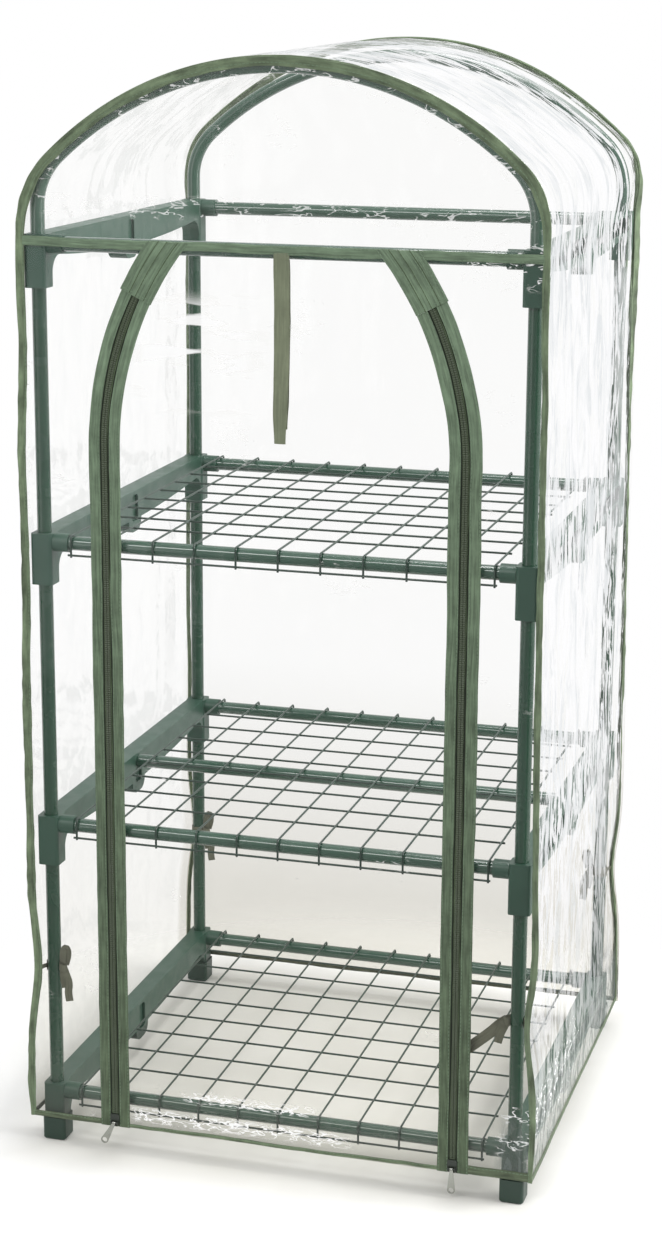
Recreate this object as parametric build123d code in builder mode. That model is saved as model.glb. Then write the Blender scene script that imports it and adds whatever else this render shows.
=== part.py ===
# Tiered greenhouse: a tube frame with wire shelves under a zipped clear film cover.
# Front is -Y and up is +Z. The origin is on the floor, under the middle of the whole part.

import os
from math import asin, cos, radians, sin, sqrt

from build123d import *

os.makedirs("parts", exist_ok=True)

# Tube frame, in millimetres
post_spacing_x = 550.0  # between post axes, left to right
post_spacing_y = 508.0  # between post axes, front to rear
tier_pitch = 330.0
rail_height = 60.0  # lowest rail's axis above the floor
tube_d = 16.0
tube_wall = 0.8
tube_clearance = 0.15  # radial, between a tube and its socket

# Moulded side brackets
socket_size = 25.0
socket_height = 58.0
socket_depth = 24.0  # how far a post goes in
socket_corner = 4.0
bracket_rise = 10.5  # bracket's top above the rail axis
collar_d = 21.0
collar_length = 18.0
rail_insert = 1.0  # how far a rail goes past the socket's inner face
beam_width = 22.0
beam_depth = 25.0
beam_sag = 10.0  # how much deeper the beam is in the middle
beam_wall = 3.5
gusset_r = 20.0
boss_width = 42.0
boss_drop = 50.0  # boss bottom below the bracket's top
boss_corner = 14.0
slot_width = 20.0
slot_height = 32.0
slot_top = 5.0  # below the bracket's top
slot_corner = 5.0
slot_recess = 3.5
middle_socket_depth = 14.0
foot_size = 28.0
foot_height = 28.0
foot_chamfer = 2.0

# Hoops
hoop_stand = 27.35  # straight part above the top bracket
hoop_crown_r = 370.0
hoop_shoulder_r = 75.0
swage_length = 30.0
swage_neck = 3.0
swage_clearance = 0.2

# Wire shelves
wire_d = 2.4
wire_clearance = 0.3  # between a wire and the rail under it
wire_bend_r = 3.5
weld_sink = 0.5  # how far crossing wires sink into each other
mesh_pitch_x = 48.0
mesh_pitch_y = 55.0
mesh_margin = 50.0  # least, from a rail's axis to the nearest cross wire
mesh_overhang = 3.0
flange_drop = 24.0  # front leg below the shelf
hook_drop = 14.0  # rear leg below the shelf

# Film cover
film = 0.5  # stand-in thickness
cover_gap_x = 4.0  # film to foot, at the sides
cover_gap_y = 1.0  # film to foot, front and rear
crown_slack = 7.0  # roof film's extra crown radius
shoulder_slack = 5.0  # roof film's extra shoulder radius
film_lift = 0.5  # roof film above the hoop
hem_bottom = 30.0
hem_height = 12.0
door_hem_height = 6.0
binding = 1.0  # binding tape thickness
binding_width = 10.0
tape = 1.2  # zip and header tape thickness
header_height = 13.0

# Door, zips and straps
door_shift = 6.0  # door's middle to the right of the frame's
door_gap = 0.5  # between the door and the fixed cover
zip_inset = 91.0  # cover's side to the straight part of a zip, with the door in the middle
zip_bend_drop = 220.0  # where a zip starts to bend, below the header
zip_bend_r = 380.0
zip_gap = 1.6  # between the two tapes of a zip
zip_tape_width = 17.0
patch = 1.0  # thickness of the patch over a zip's top
patch_drop = 52.0  # patch bottom below the header's axis
patch_overlap = 1.0  # patch past the tapes on each side
slider_clearance = 0.3
slider_width = 11.0
slider_height = 14.0
slider_plate = 1.8
slider_back = 1.0
slider_neck = 1.0
slider_rise = 2.0  # slider above the hem's lower edge
slider_corner = 2.0
cheek = 1.2
pin_d = 1.6
pin_clearance = 0.1
pin_rise = 4.0  # pin axis above the slider's lower edge
pin_stand = 2.2  # pin axis in front of the slider's plate
pull = 1.4  # pull thickness
pull_length = 30.0
pull_width = 9.0
pull_neck = 3.4
knuckle_wall = 0.7  # round the pin's hole
pull_hole_d = 6.0
pull_tilt = 28.0  # left pull's lean, in degrees
strap = 1.0  # strap thickness
strap_width = 16.0
strap_end_width = 12.0
strap_length = 195.0
strap_inner_length = 180.0

# Corner ties
tie = 1.2  # ribbon thickness
tie_width = 14.0
tie_height = 215.0
tie_clearance = 0.3
tie_knot = 9.0
tie_tail = 30.0
tie_lean = 12.0  # degrees, each tail from upright

# Places worked out from the sizes above
tube_r = tube_d / 2
bore_r = tube_r + tube_clearance
slider_front = slider_clearance + slider_plate + pin_stand
knuckle_r = pin_d / 2 + pin_clearance + knuckle_wall
pull_front = slider_front + knuckle_r
front_stack = film + tape + pull_front  # film's inner face to the front of a pull
rear_stack = film + binding
frame_y = (front_stack - rear_stack) / 2  # frame's middle, so that the origin is in the part's middle
front_y = frame_y - post_spacing_y / 2
rear_y = frame_y + post_spacing_y / 2
level_names = ("bottom", "lower", "upper", "top")
level_z = [rail_height + tier_pitch * level for level in range(len(level_names))]
tier_names = ("lower", "middle", "upper")
sides = {"left": -1, "right": 1}
ends = {"front": front_y, "rear": rear_y}
hoop_spring = level_z[-1] + bracket_rise + hoop_stand
hoop_bend = hoop_crown_r - hoop_shoulder_r
hoop_apex = hoop_spring + hoop_crown_r - sqrt(hoop_bend**2 - (post_spacing_x / 2 - hoop_shoulder_r) ** 2)
middle_level = 1  # the level with a rail across its middle
mesh_room = post_spacing_x - socket_size - 2 * collar_length - 2 * mesh_overhang
mesh_columns = int(mesh_room / mesh_pitch_x) + 1
mesh_rows = int((post_spacing_y / 2 - mesh_margin) / mesh_pitch_y + 1 / 2)  # on each side of the middle rail

cover_x = post_spacing_x / 2 + foot_size / 2 + cover_gap_x
cover_front = front_y - foot_size / 2 - cover_gap_y
cover_rear = rear_y + foot_size / 2 + cover_gap_y
zip_half = cover_x - zip_inset
cover_apex = hoop_apex + tube_r + film_lift
cover_crown_r = hoop_crown_r + tube_r + crown_slack
cover_shoulder_r = hoop_shoulder_r + tube_r + shoulder_slack
film_front = cover_front - film
tape_front = film_front - tape
hem_top = hem_bottom + hem_height
header_z = level_z[-1]
header_bottom = header_z - header_height / 2
header_top = header_z + header_height / 2
zip_bend_z = header_z - zip_bend_drop
patch_bottom = header_z - patch_drop
tape_inner = zip_gap / 2
tape_outer = tape_inner + zip_tape_width
patch_edge = tape_outer + patch_overlap
door_top = header_bottom - door_gap
tie_room = foot_size / 2 + min(cover_gap_x, cover_gap_y) - tie_clearance
tie_reach = sqrt(2) * tie_room - tie / 2  # from the post's axis towards the cover's corner


def save(part, name):
    """Label a finished piece and write it to its own file."""
    part.label = name
    export_step(part, f"parts/{name}.step")


def ring(radius):
    """Tube section with the frame's wall, drawn in the current sketch."""
    Circle(radius)
    Circle(radius - tube_wall, mode=Mode.SUBTRACT)


def make_bracket(side, level):
    """Side moulding: a post socket at each end of a beam that has a boss in its middle."""
    rail_z = level_z[level]
    top = rail_z + bracket_rise
    bottom = top - socket_height if level > 0 else 0
    axis_x = side * post_spacing_x / 2
    socket_face = axis_x - side * socket_size / 2
    beam_face = axis_x - side * beam_width / 2
    beam_back = axis_x + side * beam_width / 2
    half = post_spacing_y / 2 - socket_size / 2
    beam_bottom = top - beam_depth
    gusset_end = half - gusset_r
    gusset_z = beam_bottom - gusset_r
    gusset_mid = gusset_r * sin(radians(45))
    pocket_start = boss_width / 2 + beam_wall
    pocket_length = half - beam_wall - pocket_start
    left_end = -half - socket_corner
    right_end = half + socket_corner
    beam_plane = Plane(origin=(axis_x - beam_width / 2, frame_y, 0), x_dir=(0, 1, 0), z_dir=(1, 0, 0))
    with BuildPart() as bracket:
        with BuildSketch(beam_plane):
            with BuildLine():
                Polyline((-half, gusset_z), (left_end, gusset_z), (left_end, top), (right_end, top))
                Polyline((right_end, top), (right_end, gusset_z), (half, gusset_z))
                ThreePointArc(
                    (half, gusset_z),
                    (gusset_end + gusset_mid, gusset_z + gusset_mid),
                    (gusset_end, beam_bottom),
                )
                ThreePointArc(
                    (gusset_end, beam_bottom),
                    (0, beam_bottom - beam_sag),
                    (-gusset_end, beam_bottom),
                )
                ThreePointArc(
                    (-gusset_end, beam_bottom),
                    (-gusset_end - gusset_mid, gusset_z + gusset_mid),
                    (-half, gusset_z),
                )
            make_face()
        extrude(amount=beam_width)
        with BuildSketch(beam_plane) as boss:
            with Locations((0, top)):
                Rectangle(boss_width, boss_drop, align=(Align.CENTER, Align.MAX))
            fillet(boss.vertices().group_by(Axis.Y)[0], boss_corner)
        extrude(amount=beam_width)
        with BuildSketch(Plane.YZ.offset(beam_back)):
            for turn in (-1, 1):
                with Locations((frame_y + turn * (pocket_start + pocket_length / 2), top - beam_depth / 2)):
                    Rectangle(pocket_length, beam_depth - 2 * beam_wall)
        extrude(amount=-side * (beam_width - beam_wall), mode=Mode.SUBTRACT)
        with BuildSketch(Plane.XY.offset(bottom)):
            with Locations((axis_x, front_y), (axis_x, rear_y)):
                RectangleRounded(socket_size, socket_size, socket_corner)
        extrude(amount=top - bottom)
        with BuildSketch(Plane.YZ.offset(socket_face)):
            with Locations((front_y, rail_z), (rear_y, rail_z)):
                Circle(collar_d / 2)
        extrude(amount=-side * collar_length)
        if level == 0:
            with BuildSketch():
                with Locations((axis_x, front_y), (axis_x, rear_y)):
                    RectangleRounded(foot_size, foot_size, socket_corner)
            extrude(amount=foot_height)
            chamfer(bracket.edges().group_by(Axis.Z)[0], foot_chamfer)
        with BuildSketch(Plane.YZ.offset(socket_face - side * collar_length)):
            with Locations((front_y, rail_z), (rear_y, rail_z)):
                Circle(bore_r)
        extrude(amount=side * (collar_length + rail_insert), mode=Mode.SUBTRACT)
        with BuildSketch(Plane.XY.offset(top)):
            with Locations((axis_x, front_y), (axis_x, rear_y)):
                Circle(bore_r)
        extrude(amount=-socket_depth, mode=Mode.SUBTRACT)
        if level > 0:
            with BuildSketch(Plane.XY.offset(bottom)):
                with Locations((axis_x, front_y), (axis_x, rear_y)):
                    Circle(bore_r)
            extrude(amount=socket_depth, mode=Mode.SUBTRACT)
        with BuildSketch(Plane.YZ.offset(beam_face)):
            with Locations((frame_y, top - slot_top - slot_height / 2)):
                RectangleRounded(slot_width, slot_height, slot_corner)
        extrude(amount=side * slot_recess, mode=Mode.SUBTRACT)
        if level == middle_level:
            with BuildSketch(Plane.YZ.offset(beam_face)):
                with Locations((frame_y, rail_z)):
                    Circle(bore_r)
            extrude(amount=side * middle_socket_depth, mode=Mode.SUBTRACT)
    return bracket.part


def make_post(x, y, tier):
    """Upright tube from one level's socket to the next."""
    bottom = level_z[tier] + bracket_rise - socket_depth
    top = level_z[tier + 1] + bracket_rise - socket_height + socket_depth
    with BuildPart() as post:
        with BuildSketch(Plane.XY.offset(bottom)):
            with Locations((x, y)):
                ring(tube_r)
        extrude(amount=top - bottom)
    return post.part


def make_rail(y, z, half_length):
    """Cross tube between the left and right brackets."""
    with BuildPart() as rail:
        with BuildSketch(Plane.YZ.offset(-half_length)):
            with Locations((y, z)):
                ring(tube_r)
        extrude(amount=2 * half_length)
    return rail.part


def arch(half_width, shoulder_r, crown_r, apex_z):
    """Points of an arch's right half: wall top, mid shoulder, shoulder end, mid crown, apex."""
    angle = asin((half_width - shoulder_r) / (crown_r - shoulder_r))
    bend = (angle + radians(90)) / 2
    crown_z = apex_z - crown_r
    shoulder_x = half_width - shoulder_r
    shoulder_z = crown_z + (crown_r - shoulder_r) * cos(angle)
    return (
        (half_width, shoulder_z),
        (shoulder_x + shoulder_r * sin(bend), shoulder_z + shoulder_r * cos(bend)),
        (crown_r * sin(angle), crown_z + crown_r * cos(angle)),
        (crown_r * sin(angle / 2), crown_z + crown_r * cos(angle / 2)),
        (0, apex_z),
    )


def mirrored(point):
    """The same point on the other side of the part."""
    return (-point[0], point[1])


def make_hoop(side, y):
    """Bent tube from a top socket to the crown; the left one's end is swaged to plug into the right one."""
    points = arch(post_spacing_x / 2, hoop_shoulder_r, hoop_crown_r, hoop_apex)
    if side < 0:
        points = [mirrored(point) for point in points]
    spring, shoulder_mid, shoulder_end, crown_mid, apex = points
    foot = (spring[0], level_z[-1] + bracket_rise - socket_depth)
    neck_angle = swage_neck / hoop_crown_r
    plug_angle = swage_length / hoop_crown_r
    crown_z = hoop_apex - hoop_crown_r

    def crown_point(turn):
        return (hoop_crown_r * sin(turn), crown_z + hoop_crown_r * cos(turn))

    with BuildPart() as hoop:
        with BuildLine(Plane.XZ.offset(-y)) as path:
            Line(foot, spring)
            ThreePointArc(spring, shoulder_mid, shoulder_end)
            ThreePointArc(shoulder_end, crown_mid, apex)
        with BuildSketch(Plane.XY.offset(foot[1])):
            with Locations((foot[0], y)):
                ring(tube_r)
        sweep(path=path.wires()[0])
        if side < 0:
            with BuildLine(Plane.XZ.offset(-y)) as neck:
                ThreePointArc(crown_point(-neck_angle), crown_point(-neck_angle / 2), apex)
            with BuildSketch(Plane(origin=neck.line @ 0, z_dir=neck.line % 0)):
                Circle(tube_r - tube_wall / 2)
            sweep(path=neck.line)
            with BuildLine(Plane.XZ.offset(-y)) as plug:
                ThreePointArc(apex, crown_point(plug_angle / 2), crown_point(plug_angle))
            with BuildSketch(Plane(origin=plug.line @ 0, z_dir=plug.line % 0)):
                ring(tube_r - tube_wall - swage_clearance)
            sweep(path=plug.line)
    return hoop.part


def make_shelf(level):
    """Welded wire shelf whose bent ends hang over the front and rear rails."""
    seat = tube_r + wire_clearance + wire_d / 2  # wire axis from rail axis
    wire_z = level_z[level] + seat
    front_leg = front_y - seat
    rear_leg = rear_y + seat
    cross_step = wire_d - weld_sink
    cross_length = (mesh_columns - 1) * mesh_pitch_x + 2 * mesh_overhang
    flange_z = wire_z - flange_drop + mesh_overhang
    with BuildPart() as wire:
        with BuildLine(Plane.YZ) as path:
            FilletPolyline(
                (front_leg, wire_z - flange_drop),
                (front_leg, wire_z),
                (rear_leg, wire_z),
                (rear_leg, wire_z - hook_drop),
                radius=wire_bend_r,
            )
        with BuildSketch(Plane.XY.offset(wire_z - flange_drop)):
            with Locations((0, front_leg)):
                Circle(wire_d / 2)
        sweep(path=path.wires()[0])
    with BuildPart() as shelf:
        with GridLocations(mesh_pitch_x, 1, mesh_columns, 1):
            add(wire.part)
        with Locations((0, frame_y, wire_z - cross_step)):
            with GridLocations(1, mesh_pitch_y, 1, 2 * mesh_rows):
                Cylinder(wire_d / 2, cross_length, rotation=(0, 90, 0))
        with Locations((0, front_leg - cross_step, flange_z)):
            Cylinder(wire_d / 2, cross_length, rotation=(0, 90, 0))
    return shelf.part


def arch_sketch(plane, bottom, offset):
    """The cover's front view, grown by offset, from bottom up."""
    spring, shoulder_mid, shoulder_end, _, apex = arch(
        cover_x + offset, cover_shoulder_r + offset, cover_crown_r + offset, cover_apex + offset
    )
    foot = (spring[0], bottom)
    with BuildSketch(plane) as outline:
        with BuildLine():
            Line(mirrored(foot), foot)
            if bottom < spring[1]:
                Line(foot, spring)
                Line(mirrored(spring), mirrored(foot))
            ThreePointArc(spring, shoulder_mid, shoulder_end)
            ThreePointArc(shoulder_end, apex, mirrored(shoulder_end))
            ThreePointArc(mirrored(shoulder_end), mirrored(shoulder_mid), mirrored(spring))
        make_face()
    return outline.sketch


cover_spring = arch(cover_x, cover_shoulder_r, cover_crown_r, cover_apex)[0][1]


def make_wall(side):
    """Flat film from the hem to where the roof starts to bend."""
    with BuildPart() as wall:
        with BuildSketch(Plane.XY.offset(hem_bottom)):
            with Locations((side * (cover_x + film / 2), (cover_front + cover_rear) / 2)):
                Rectangle(film, cover_rear - cover_front)
        extrude(amount=cover_spring - hem_bottom)
    return wall.part


def make_roof():
    """Arched film over both hoops."""
    section = Plane.XZ.offset(-cover_rear)
    depth = cover_rear - cover_front
    with BuildPart() as roof:
        extrude(arch_sketch(section, cover_spring, film), amount=depth)
        extrude(arch_sketch(section, cover_spring, 0), amount=depth, mode=Mode.SUBTRACT)
    return roof.part


def make_rear_panel():
    """Film that closes the rear, from the hem to the roof."""
    with BuildPart() as panel:
        extrude(arch_sketch(Plane.XZ.offset(-cover_rear), hem_bottom, film), amount=-film)
    return panel.part


def zip_x(side, offset, z):
    """X of a zip's line at a height; offset is measured away from the door."""
    if z <= zip_bend_z:
        reach = zip_half + offset
    else:
        reach = zip_half - zip_bend_r + sqrt((zip_bend_r + offset) ** 2 - (z - zip_bend_z) ** 2)
    return door_shift + side * reach


def zip_line(side, offset, low, high):
    """Draw a zip's line from low to high: a straight part, then the bend."""
    start = (zip_x(side, offset, low), low)
    end = (zip_x(side, offset, high), high)
    if high <= zip_bend_z:
        Line(start, end)
        return
    bend_start = max(low, zip_bend_z)
    bend_mid = (bend_start + high) / 2
    bend = (zip_x(side, offset, bend_start), bend_start)
    if low < zip_bend_z:
        Line(start, bend)
    ThreePointArc(bend, (zip_x(side, offset, bend_mid), bend_mid), end)


def zip_band(plane, side, near, far, low, high):
    """Band beside a zip's line, between two offsets and two heights."""
    with BuildSketch(plane) as band:
        with BuildLine():
            zip_line(side, near, low, high)
            zip_line(side, far, low, high)
            Line((zip_x(side, near, low), low), (zip_x(side, far, low), low))
            Line((zip_x(side, near, high), high), (zip_x(side, far, high), high))
        make_face()
    return band.sketch


def make_strip(side):
    """Fixed front film between a corner and a zip; it also backs the patch over the zip's top."""
    edge = side * (cover_x + film)
    with BuildPart() as strip:
        with BuildSketch(Plane.XZ.offset(-cover_front)):
            with BuildLine():
                Line((edge, hem_bottom), (zip_x(side, tape_inner, hem_bottom), hem_bottom))
                zip_line(side, tape_inner, hem_bottom, patch_bottom)
                Line(
                    (zip_x(side, tape_inner, patch_bottom), patch_bottom),
                    (zip_x(side, -patch_edge, patch_bottom), patch_bottom),
                )
                zip_line(side, -patch_edge, patch_bottom, header_z)
                Line((zip_x(side, -patch_edge, header_z), header_z), (edge, header_z))
                Line((edge, header_z), (edge, hem_bottom))
            make_face()
        extrude(amount=film)
    return strip.part


def make_gable():
    """Film above the header, with the lip behind it that the door hangs from."""
    face = Plane.XZ.offset(-cover_front)
    left = zip_x(-1, -patch_edge, header_z)
    right = zip_x(1, -patch_edge, header_z)
    with BuildPart() as gable:
        extrude(arch_sketch(face, header_z, film), amount=film)
        with BuildSketch(face):
            with Locations(((left + right) / 2, header_z)):
                Rectangle(right - left, header_z - header_bottom, align=(Align.CENTER, Align.MAX))
        extrude(amount=film)
    return gable.part


def make_door():
    """Door film between the zips, narrower beside the patches at its top."""
    shoulder = patch_bottom - door_gap
    edge = -tape_inner
    beside = -patch_edge - door_gap
    with BuildPart() as door:
        with BuildSketch(Plane.XZ.offset(-cover_front)):
            with BuildLine():
                Line((zip_x(-1, edge, hem_bottom), hem_bottom), (zip_x(1, edge, hem_bottom), hem_bottom))
                for side in sides.values():
                    zip_line(side, edge, hem_bottom, shoulder)
                    Line((zip_x(side, edge, shoulder), shoulder), (zip_x(side, beside, shoulder), shoulder))
                    zip_line(side, beside, shoulder, door_top)
                Line((zip_x(-1, beside, door_top), door_top), (zip_x(1, beside, door_top), door_top))
            make_face()
        extrude(amount=film)
    return door.part


def make_binding(y, forward):
    """Tape folded over the seam round an end panel; forward is -1 at the front and 1 at the rear."""
    face = Plane.XZ.offset(-y - forward * film)
    front_leg = -forward * binding
    side_leg = forward * binding_width
    with BuildPart() as edge:
        extrude(arch_sketch(face, hem_top, film + binding), amount=front_leg)
        extrude(arch_sketch(face, hem_top, -binding_width), amount=front_leg, mode=Mode.SUBTRACT)
        extrude(arch_sketch(face, hem_top, film + binding), amount=side_leg)
        extrude(arch_sketch(face, hem_top, film), amount=side_leg, mode=Mode.SUBTRACT)
    return edge.part


def make_hem():
    """Tape round the bottom of the fixed film: one length per panel."""
    outside = cover_x + film
    rear_face = cover_rear + film
    depth = rear_face - film_front
    middle_y = (rear_face + film_front) / 2
    with BuildPart() as hem:
        with BuildSketch(Plane.XY.offset(hem_bottom)):
            for side in sides.values():
                with Locations((side * (outside + binding / 2), middle_y)):
                    Rectangle(binding, depth)
                stop = zip_x(side, tape_outer, hem_bottom)
                with Locations(((side * outside + stop) / 2, film_front - binding / 2)):
                    Rectangle(abs(side * outside - stop), binding)
            with Locations((0, rear_face + binding / 2)):
                Rectangle(2 * outside, binding)
        extrude(amount=hem_height)
    return hem.part


def make_door_hem():
    """Narrow tape along the door's lower edge, between the zip tapes."""
    left = zip_x(-1, -tape_outer, hem_bottom)
    right = zip_x(1, -tape_outer, hem_bottom)
    with BuildPart() as hem:
        with BuildSketch(Plane.XZ.offset(-film_front)):
            with Locations(((left + right) / 2, hem_bottom)):
                Rectangle(right - left, door_hem_height, align=(Align.CENTER, Align.MIN))
        extrude(amount=binding)
    return hem.part


def make_header():
    """Tape across the front, between the legs of the front binding."""
    with BuildPart() as header:
        with BuildSketch(Plane.XZ.offset(-film_front)):
            with Locations((0, header_z)):
                Rectangle(2 * (cover_x - binding_width), header_height)
        extrude(amount=tape)
    return header.part


def make_zip_tapes(near, far, high):
    """The left and right tapes on one side of the zips."""
    with BuildPart() as tapes:
        for side in sides.values():
            extrude(zip_band(Plane.XZ.offset(-film_front), side, near, far, hem_bottom, high), amount=tape)
    return tapes.part


def make_patches():
    """Tape sewn over the top end of each zip and over the header."""
    behind = Plane.XZ.offset(-film_front)
    face = Plane.XZ.offset(-tape_front)
    with BuildPart() as patches:
        for side in sides.values():
            packing = zip_band(behind, side, -patch_edge, tape_inner, patch_bottom, header_bottom)
            cover = zip_band(face, side, -patch_edge, patch_edge, patch_bottom, header_top)
            extrude(packing, amount=tape)
            extrude(cover, amount=patch)
    return patches.part


slider_z = hem_bottom + slider_rise
slider_y = tape_front - slider_clearance
pin_y = tape_front - slider_front
pin_z = slider_z + pin_rise


def make_slider(side):
    """Zip slider: a front plate over both tapes, a neck in their gap and a back plate on the door's half."""
    x = zip_x(side, 0, slider_z)
    back_y = cover_front + slider_clearance
    cheek_x = slider_width / 2 - cheek / 2 - slider_corner / 2
    with BuildPart() as slider:
        with BuildSketch(Plane.XZ.offset(-slider_y)):
            with Locations((x, slider_z + slider_height / 2)):
                RectangleRounded(slider_width, slider_height, slider_corner)
        extrude(amount=slider_plate)
        with Locations((x, slider_y, slider_z)):
            Box(
                slider_neck,
                back_y + slider_back - slider_y,
                slider_height / 2,
                align=(Align.CENTER, Align.MIN, Align.MIN),
            )
        with Locations((x + side * slider_neck / 2, back_y, slider_z)):
            Box(
                slider_width / 2,
                slider_back,
                slider_height / 2,
                align=(Align.MAX if side > 0 else Align.MIN, Align.MIN, Align.MIN),
            )
        for turn in (-1, 1):
            with Locations((x + turn * cheek_x, slider_y - slider_plate, pin_z)):
                Box(cheek, pin_stand, 2 * knuckle_r, align=(Align.CENTER, Align.MAX, Align.CENTER))
            with Locations((x + turn * cheek_x, pin_y, pin_z)):
                Cylinder(knuckle_r, cheek, rotation=(0, 90, 0))
        with Locations((x, pin_y, pin_z)):
            Cylinder(pin_d / 2, 2 * cheek_x, rotation=(0, 90, 0))
    return slider.part


def make_pull(side, tilt):
    """Flat pull on a slider's pin, with a ring hole in its end; tilt is its lean in degrees."""
    x = zip_x(side, 0, slider_z)
    lean = radians(tilt)
    plane = Plane(origin=(x, pin_y + pull / 2, pin_z), x_dir=(cos(lean), 0, sin(lean)), z_dir=(0, -1, 0))
    end = pull_width / 2 - pull_length
    with BuildPart() as tab:
        with BuildSketch(plane):
            with Locations((0, end)):
                Circle(pull_width / 2)
            with BuildLine():
                Polyline(
                    (-pull_neck / 2, 0),
                    (pull_neck / 2, 0),
                    (pull_width / 2, end),
                    (-pull_width / 2, end),
                    close=True,
                )
            make_face()
            with Locations((0, end)):
                Circle(pull_hole_d / 2, mode=Mode.SUBTRACT)
        extrude(amount=pull)
        with Locations((x, pin_y, pin_z)):
            Cylinder(knuckle_r, pull_neck, rotation=(0, 90, 0))
            Cylinder(pin_d / 2 + pin_clearance, pull_width, rotation=(0, 90, 0), mode=Mode.SUBTRACT)
    return tab.part


def make_strap(face, length):
    """Tapered strap hanging from the header, with its front face at face."""
    top = Plane(origin=(door_shift, face, door_top), x_dir=(1, 0, 0), z_dir=(0, -1, 0))
    with BuildPart() as ribbon:
        with BuildSketch(top):
            with BuildLine():
                Polyline(
                    (-strap_width / 2, 0),
                    (strap_width / 2, 0),
                    (strap_end_width / 2, -length),
                    (-strap_end_width / 2, -length),
                    close=True,
                )
            make_face()
        extrude(amount=-strap)
    return ribbon.part


def make_ties():
    """Ribbon round each post near its foot: a ring, an arm to the cover's corner, a knot and two tails."""
    ring_r = tube_r + tie_clearance
    arm = tie_reach - ring_r
    knot_r = ring_r + tie_knot / 2
    with BuildPart() as ties:
        for side in sides.values():
            for y, turn in ((front_y, -1), (rear_y, 1)):
                x = side * post_spacing_x / 2
                knot_x = x - side * knot_r
                corner = Plane(origin=(x, y, tie_height), x_dir=(side, turn, 0), z_dir=(0, 0, 1))
                inward = Plane(origin=(knot_x, y, tie_height), x_dir=(-side, 0, 0), z_dir=(0, 0, 1))
                with Locations((x, y, tie_height)):
                    Cylinder(ring_r + tie, tie_width)
                    Cylinder(ring_r, tie_width, mode=Mode.SUBTRACT)
                with Locations(corner):
                    with Locations((ring_r + arm / 2, 0, 0)):
                        Box(arm, tie, tie_width)
                with Locations(inward):
                    Box(tie_knot - tie_clearance, tie_knot, tie_knot)
                    for lean, fall in ((tie_lean, 1), (-tie_lean, -1)):
                        with Locations(Location((0, 0, fall * tie_tail / 2), (0, lean, 0))):
                            Box(tie, tie_knot, tie_tail)
    return ties.part


# Frame
rail_half = post_spacing_x / 2 - socket_size / 2 + rail_insert
middle_rail_half = post_spacing_x / 2 - beam_width / 2 + middle_socket_depth
for side_name, side in sides.items():
    for level, level_name in enumerate(level_names):
        save(make_bracket(side, level), f"bracket_{side_name}_{level_name}")
    for end_name, y in ends.items():
        for tier, tier_name in enumerate(tier_names):
            save(make_post(side * post_spacing_x / 2, y, tier), f"post_{end_name}_{side_name}_{tier_name}")
        save(make_hoop(side, y), f"hoop_{end_name}_{side_name}")
for level, level_name in enumerate(level_names):
    for end_name, y in ends.items():
        save(make_rail(y, level_z[level], rail_half), f"rail_{end_name}_{level_name}")
save(make_rail(frame_y, level_z[middle_level], middle_rail_half), "rail_middle_lower")
for level, level_name in enumerate(level_names[:-1]):
    save(make_shelf(level), f"shelf_{level_name}")

# Cover
for side_name, side in sides.items():
    save(make_wall(side), f"wall_{side_name}")
    save(make_strip(side), f"front_strip_{side_name}")
    save(make_slider(side), f"zip_slider_{side_name}")
save(make_roof(), "roof")
save(make_rear_panel(), "rear_panel")
save(make_gable(), "front_gable")
save(make_door(), "door_film")
save(make_binding(cover_front, -1), "front_binding")
save(make_binding(cover_rear, 1), "rear_binding")
save(make_hem(), "hem_tape")
save(make_door_hem(), "door_hem")
save(make_header(), "header_tape")
save(make_zip_tapes(tape_inner, tape_outer, header_bottom), "zip_tapes_fixed")
save(make_zip_tapes(-tape_outer, -tape_inner, patch_bottom - door_gap), "zip_tapes_door")
save(make_patches(), "zip_patches")
save(make_pull(-1, -pull_tilt), "zip_pull_left")
save(make_pull(1, 0), "zip_pull_right")
save(make_strap(film_front - slider_clearance - strap, strap_length), "strap_outer")
save(make_strap(cover_front + slider_clearance, strap_inner_length), "strap_inner")
save(make_ties(), "corner_ties")
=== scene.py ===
"""Looks of the tiered greenhouse: clear film, tapes, zips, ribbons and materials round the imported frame."""

import math

import bmesh
import bpy
import numpy as np
from mathutils import Matrix, Vector


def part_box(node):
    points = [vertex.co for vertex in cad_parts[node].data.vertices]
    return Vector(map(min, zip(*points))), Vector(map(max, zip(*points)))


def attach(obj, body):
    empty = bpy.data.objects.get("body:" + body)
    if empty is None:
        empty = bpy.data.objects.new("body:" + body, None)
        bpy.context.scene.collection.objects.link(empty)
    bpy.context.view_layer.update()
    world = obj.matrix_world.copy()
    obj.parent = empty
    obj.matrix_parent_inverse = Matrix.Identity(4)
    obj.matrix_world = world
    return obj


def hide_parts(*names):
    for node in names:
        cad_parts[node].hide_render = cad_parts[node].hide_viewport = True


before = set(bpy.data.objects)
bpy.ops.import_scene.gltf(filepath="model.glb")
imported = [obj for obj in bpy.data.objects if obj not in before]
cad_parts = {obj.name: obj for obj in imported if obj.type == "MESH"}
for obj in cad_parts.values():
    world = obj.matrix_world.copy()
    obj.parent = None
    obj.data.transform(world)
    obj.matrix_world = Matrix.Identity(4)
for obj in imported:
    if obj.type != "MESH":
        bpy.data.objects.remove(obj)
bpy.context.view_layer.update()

MM = 0.001
FORWARD = np.array((0.0, -1.0, 0.0))
UP = np.array((0.0, 0.0, 1.0))

# The posts' distance from the middle and their radius
post_x = 275 * MM
post_r = 8 * MM

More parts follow.
